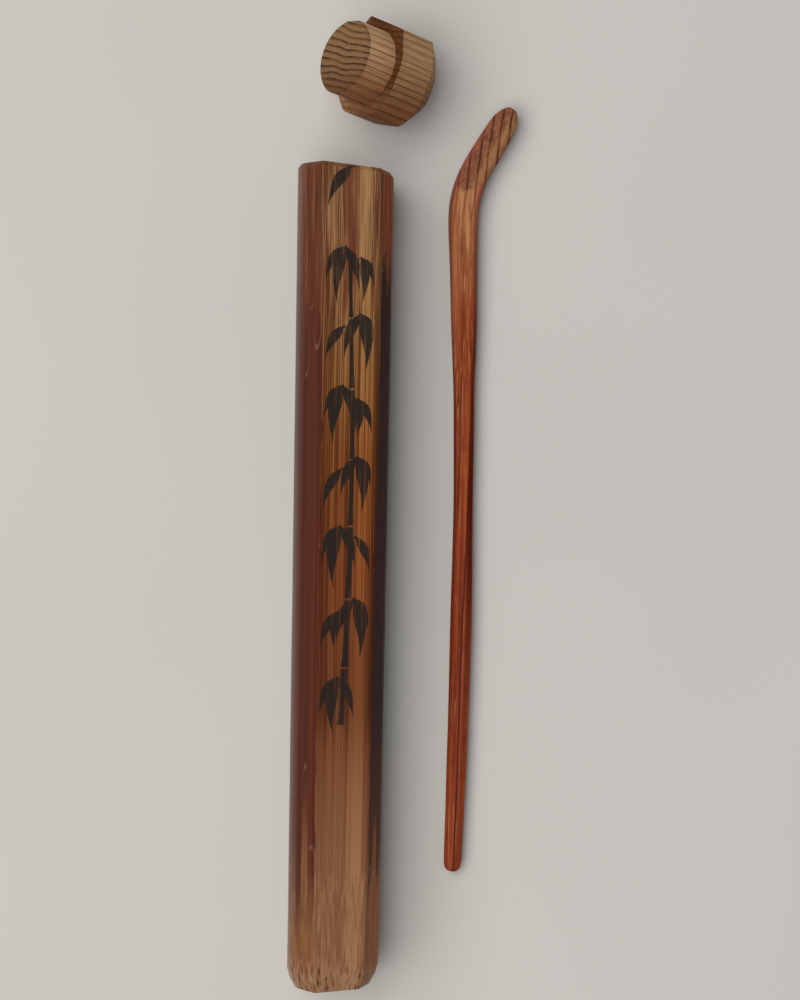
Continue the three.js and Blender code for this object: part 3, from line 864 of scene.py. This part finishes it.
# Growth lines 2.1 mm apart. Past the bend they lean with the blade, and they can still be seen
# through the lacquer on the neck.
line_gap, bend_at = 2.1, 84.0
past_bend = add(tree, "Math MAXIMUM", add(tree, "Math SUBTRACT", along, bend_at), 0.0)
lean = add(tree, "Math MULTIPLY_ADD", past_bend, -0.12, aside)
moved = add(tree, "Math MULTIPLY_ADD", patches(tree, place, 4, 16, 3.0), 1.2, lean)
moved = add(tree, "Math MULTIPLY_ADD", patches(tree, place, 1.2, 2.5, 2.0), 0.45, moved)
layer = add(tree, "Math FRACT", add(tree, "Math MULTIPLY_ADD", moved, 1 / line_gap, -0.5))
line = add(tree, "Math MULTIPLY", add(tree, "MapRange SMOOTHSTEP", layer, 0.6, 0.8),
           add(tree, "MapRange SMOOTHSTEP", layer, 0.97, 0.85))
broken = patches(tree, place, 1.6, 5, 2.0)
line = add(tree, "Math MULTIPLY", line,
           add(tree, "MapRange SMOOTHSTEP", broken, 0.34, 0.54, 0.65, 1.0))
seen_through = add(tree, "MapRange SMOOTHSTEP", along, 62.0, 86.0, 0.0, 0.6)
handle = add(tree, "Mix RGBA", add(tree, "Math MULTIPLY", line, seen_through), handle, "#6b351f")

# Bare wood: red-brown down the outer contour, clear and tan on the inner side. The middle is smoky
# and crossed by short flecks that slant at 45 degrees.
blade_width = 8
bare_wood = add(tree, "ValToRGB", add(tree, "Math MULTIPLY", from_left, 1 / blade_width),
                stops=[(0.1, "#965438"), (0.22, "#925a3e"), (0.5, "#945f40"), (0.66, "#a27049"),
                       (0.95, "#a06e4c")])
mottled = patches(tree, place, 1.4, 2.6, 3.0)
mottled = add(tree, "MapRange SMOOTHSTEP", mottled, 0.45, 0.62, 0.0, 0.5)
bare_wood = add(tree, "Mix RGBA", mottled, bare_wood, "#804d32")
middle = add(tree, "Math MULTIPLY", add(tree, "MapRange SMOOTHSTEP", from_left, 0.8, 1.8),
             add(tree, "MapRange SMOOTHSTEP", from_left, 5.6, 4.2))
leaned = add(tree, "CombineXYZ", add(tree, "Math MULTIPLY", lean, mm),
             add(tree, "Math MULTIPLY", along, mm))
smoke = patches(tree, leaned, 1.5, 5, 2.0)
smoke = add(tree, "Math MULTIPLY",
            add(tree, "MapRange SMOOTHSTEP", smoke, 0.48, 0.64, 0.0, 0.65),
            add(tree, "MapRange SMOOTHSTEP", along, 91.5, 95.0))
bare_wood = add(tree, "Mix RGBA", add(tree, "Math MULTIPLY", smoke, middle), bare_wood, "#67392c")
slanting = add(tree, "CombineXYZ",
               add(tree, "Math MULTIPLY", add(tree, "Math SUBTRACT", aside, along), 0.0007),
               add(tree, "Math MULTIPLY", add(tree, "Math ADD", aside, along), 0.0007))
flecks = patches(tree, slanting, 0.45, 1.8, 2.0)
flecks = add(tree, "MapRange SMOOTHSTEP", flecks, 0.5, 0.64, 0.0, 0.55)
bare_wood = add(tree, "Mix RGBA", add(tree, "Math MULTIPLY", flecks, middle), bare_wood, "#5d3226")
bare_wood = add(tree, "Mix RGBA", line, bare_wood, "#4c2519")
red = add(tree, "Math MULTIPLY", add(tree, "MapRange SMOOTHSTEP", from_left, 1.6, 0.7),
          add(tree, "MapRange SMOOTHSTEP", patches(tree, place, 2.5, 4), 0.45, 0.6, 0.0, 0.7))
bare_wood = add(tree, "Mix RGBA", red, bare_wood, "#86463a")

# The lacquer ends in a soft curved edge just past the bend, at 91 mm along the table.
to_side = add(tree, "Math SUBTRACT", from_left, 3.4)
edge = add(tree, "Math MULTIPLY_ADD", add(tree, "Math MULTIPLY", to_side, to_side), -0.15, along)
edge = add(tree, "Math MULTIPLY_ADD", patches(tree, place, 1.2, 2.0), 2.0, edge)
bare = add(tree, "MapRange SMOOTHSTEP", edge, 90.6, 92.4)
tree.links.new(add(tree, "Mix RGBA", bare, handle, bare_wood), surface.inputs["Base Color"])
roughness = add(tree, "MapRange SMOOTHSTEP", bare, 0.0, 1.0, 0.34, 0.6)
tree.links.new(roughness, surface.inputs["Roughness"])
surface.inputs["Specular IOR Level"].default_value = 0.06
raised = add(tree, "Bump", Height=streaks, Distance=0.05 * mm, Strength=0.6)
tree.links.new(raised, surface.inputs["Normal"])
scoop.data.materials.clear()
scoop.data.materials.append(lacquered_wood)
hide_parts("tea_scoop")
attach(scoop, "scoop")
